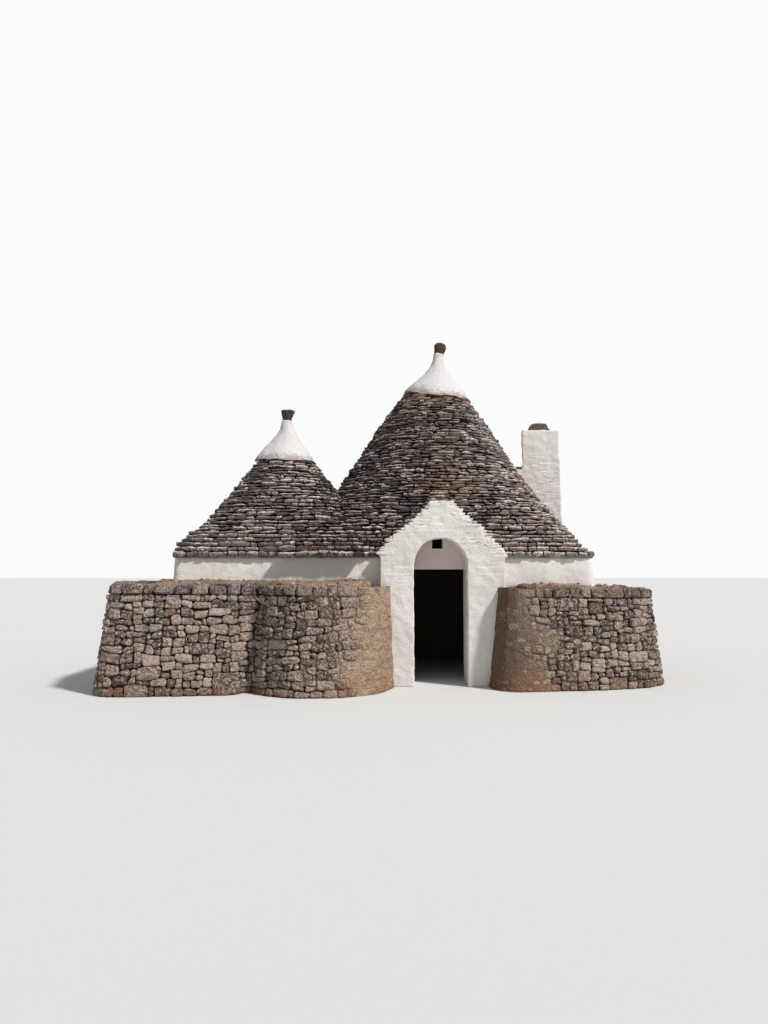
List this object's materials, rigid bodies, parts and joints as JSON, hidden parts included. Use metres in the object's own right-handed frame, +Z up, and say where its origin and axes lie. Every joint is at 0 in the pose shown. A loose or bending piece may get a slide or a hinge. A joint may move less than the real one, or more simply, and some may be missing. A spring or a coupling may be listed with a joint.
{
  "type": "trullo house",
  "caption": "Dry-stone field house with a battered base wall, whitewashed drum walls, gabled arched doorway, chimney stack and corbelled stone cones with white caps",
  "frame": {"origin": "centre of the bounding box on the ground", "axes": "+Z up, -Y is the front with the doorway, +X is to the right as seen from the front"},
  "size_m": [8.4, 6.72, 5.804],
  "materials": {
    "field_stone": "rough",
    "earth": "rough",
    "roof_stone": "rough",
    "finial_stone": "rough",
    "inner_stone": "rough",
    "whitewash": "matte"
  },
  "bodies": {
    "root": {"base_back": "field_stone", "base_back_left": "field_stone", "base_front_left": "field_stone", "base_front_middle": "field_stone", "base_front_right": "field_stone", "base_left": "field_stone", "base_left_back": "field_stone", "base_right": "field_stone", "chimney_cap": "roof_stone", "chimney_ledge": "roof_stone", "chimney_stack": "whitewash", "door_lintel": "inner_stone", "fill_back": "earth", "fill_front": "earth", "fill_front_right": "earth", "fill_left": "earth", "fill_right": "earth", "inner_arch": "inner_stone", "inner_arch_pier": "inner_stone", "main_cap": "whitewash", "main_finial": "finial_stone", "main_roof_back": "roof_stone", "main_roof_front": "roof_stone", "main_roof_left": "roof_stone", "main_roof_right": "roof_stone", "main_roof_upper": "roof_stone", "main_wall_back": "whitewash", "main_wall_front_left": "whitewash", "main_wall_front_right": "whitewash", "main_wall_left": "whitewash", "main_wall_right": "whitewash", "portal_gable": "whitewash", "portal_pier_left": "whitewash", "portal_pier_right": "whitewash", "portal_roof": "roof_stone", "small_cap": "whitewash", "small_finial": "roof_stone", "small_roof_back": "roof_stone", "small_roof_front": "roof_stone", "small_roof_left": "roof_stone", "small_roof_right": "roof_stone", "small_roof_upper": "roof_stone", "small_wall_back": "whitewash", "small_wall_front": "whitewash", "small_wall_left": "whitewash", "tympanum": "whitewash"}
  },
  "joints": []
}
